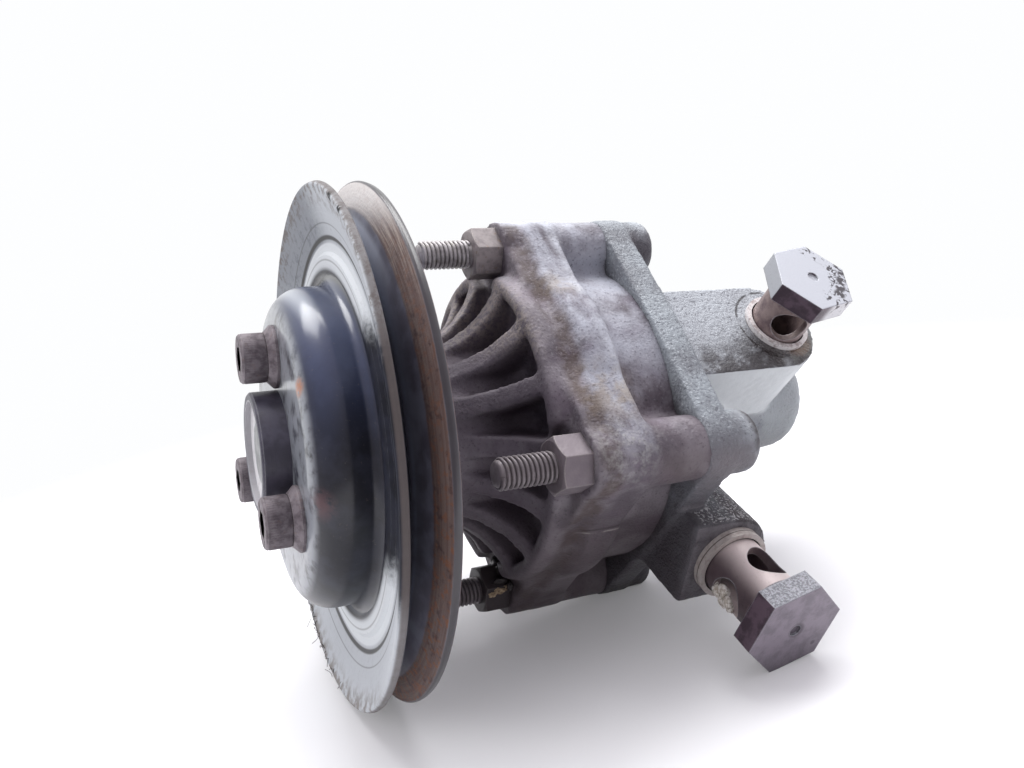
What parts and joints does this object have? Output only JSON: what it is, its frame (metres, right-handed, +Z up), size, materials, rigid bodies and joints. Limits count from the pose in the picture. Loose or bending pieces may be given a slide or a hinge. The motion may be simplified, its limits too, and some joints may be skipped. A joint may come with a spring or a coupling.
{
  "type": "power steering pump",
  "caption": "Vane pump with a pressed belt pulley, ribbed cast housing, threaded mounting studs and two hollow banjo bolts for the oil lines.",
  "frame": {"origin": "on the shaft axis in the middle plane of the belt groove", "axes": "+X along the shaft towards the rear of the pump, +Z up, -Y towards the side with the ports"},
  "size_m": [0.1758, 0.1488, 0.14],
  "materials": {
    "cast_front": "stained cast surface with pale corrosion",
    "cast_rear": "oily pebbled cast surface",
    "pulley_paint": "worn black paint",
    "pulley_rust": "black paint with rust on the rim",
    "hub_steel": "dark oxide",
    "black_screws": "brown oxide",
    "plated_studs": "dull plating on threads",
    "plated_nuts": "dull plating with grease",
    "dark_bolts": "dark oxide with oil",
    "seal_washers": "dull soft metal",
    "ground_steel": "ground",
    "bearing_steel": "polished",
    "cage_brass": "pressed",
    "spring_steel": "oiled",
    "plate_iron": "ground",
    "seal_rubber": "smooth",
    "plug_steel": "dark oxide"
  },
  "bodies": {
    "housing": {"front_housing": "cast_front", "rear_housing": "cast_rear", "mounting_studs": "plated_studs", "stud_nuts": "plated_nuts", "pressure_bolt": "dark_bolts", "suction_bolt": "dark_bolts", "pressure_washer": "seal_washers", "suction_washers": "seal_washers", "cam_ring": "ground_steel", "dowel_pins": "ground_steel", "bearing_outer_ring": "bearing_steel", "bearing_circlip": "spring_steel", "pressure_spring": "spring_steel", "valve_spring": "spring_steel", "front_pressure_plate": "plate_iron", "rear_pressure_plate": "plate_iron", "shaft_seal": "seal_rubber", "front_plate_oring": "seal_rubber", "rear_plate_oring": "seal_rubber", "housing_oring": "seal_rubber", "valve_plug_oring": "seal_rubber", "valve_plug": "plug_steel"},
    "rotating_group": {"pulley_front_sheet": "pulley_paint", "pulley_rear_sheet": "pulley_rust", "drive_flange": "hub_steel", "pulley_screws": "black_screws", "pulley_screw_washers": "black_screws", "pump_shaft": "ground_steel", "shaft_circlip": "spring_steel", "bearing_inner_ring": "bearing_steel", "rotor": "ground_steel", "rotor_circlip": "spring_steel"},
    "ball_set": {"bearing_balls": "bearing_steel", "bearing_cage": "cage_brass"},
    "spool": {"valve_spool": "ground_steel"},
    "vane_1_body": {"vane_1": "ground_steel"},
    "vane_2_body": {"vane_2": "ground_steel"},
    "vane_3_body": {"vane_3": "ground_steel"},
    "vane_4_body": {"vane_4": "ground_steel"},
    "vane_5_body": {"vane_5": "ground_steel"},
    "vane_6_body": {"vane_6": "ground_steel"},
    "vane_7_body": {"vane_7": "ground_steel"},
    "vane_8_body": {"vane_8": "ground_steel"},
    "vane_9_body": {"vane_9": "ground_steel"},
    "vane_10_body": {"vane_10": "ground_steel"}
  },
  "joints": [
    {"name": "shaft_spin", "type": "hinge", "parent": "housing", "child": "rotating_group", "pos_m": [0, 0, 0], "axis": [1, 0, 0], "continuous": true},
    {"name": "cage_spin", "type": "hinge", "parent": "housing", "child": "ball_set", "pos_m": [0.019, 0, 0], "axis": [1, 0, 0], "continuous": true},
    {"name": "spool_slide", "type": "slide", "parent": "housing", "child": "spool", "axis": [0, 0.7071, 0.7071], "range_m": [0, 0.002], "stiffness_N_per_m": 2000, "deforming": ["valve_spring"]},
    {"name": "vane_1_slide", "type": "slide", "parent": "rotating_group", "child": "vane_1_body", "axis": [0, 0, 1], "range_m": [0, 0.0014]},
    {"name": "vane_2_slide", "type": "slide", "parent": "rotating_group", "child": "vane_2_body", "axis": [0, -0.5878, 0.809], "range_m": [0, 0.0014]},
    {"name": "vane_3_slide", "type": "slide", "parent": "rotating_group", "child": "vane_3_body", "axis": [0, -0.9511, 0.309], "range_m": [0, 0.0014]},
    {"name": "vane_4_slide", "type": "slide", "parent": "rotating_group", "child": "vane_4_body", "axis": [0, -0.9511, -0.309], "range_m": [0, 0.0014]},
    {"name": "vane_5_slide", "type": "slide", "parent": "rotating_group", "child": "vane_5_body", "axis": [0, -0.5878, -0.809], "range_m": [0, 0.0014]},
    {"name": "vane_6_slide", "type": "slide", "parent": "rotating_group", "child": "vane_6_body", "axis": [0, 0, -1], "range_m": [0, 0.0014]},
    {"name": "vane_7_slide", "type": "slide", "parent": "rotating_group", "child": "vane_7_body", "axis": [0, 0.5878, -0.809], "range_m": [0, 0.0014]},
    {"name": "vane_8_slide", "type": "slide", "parent": "rotating_group", "child": "vane_8_body", "axis": [0, 0.9511, -0.309], "range_m": [0, 0.0014]},
    {"name": "vane_9_slide", "type": "slide", "parent": "rotating_group", "child": "vane_9_body", "axis": [0, 0.9511, 0.309], "range_m": [0, 0.0014]},
    {"name": "vane_10_slide", "type": "slide", "parent": "rotating_group", "child": "vane_10_body", "axis": [0, 0.5878, 0.809], "range_m": [0, 0.0014]}
  ],
  "couplings": [
    {"joint": "cage_spin", "follows": "shaft_spin", "ratio": 0.3807}
  ]
}
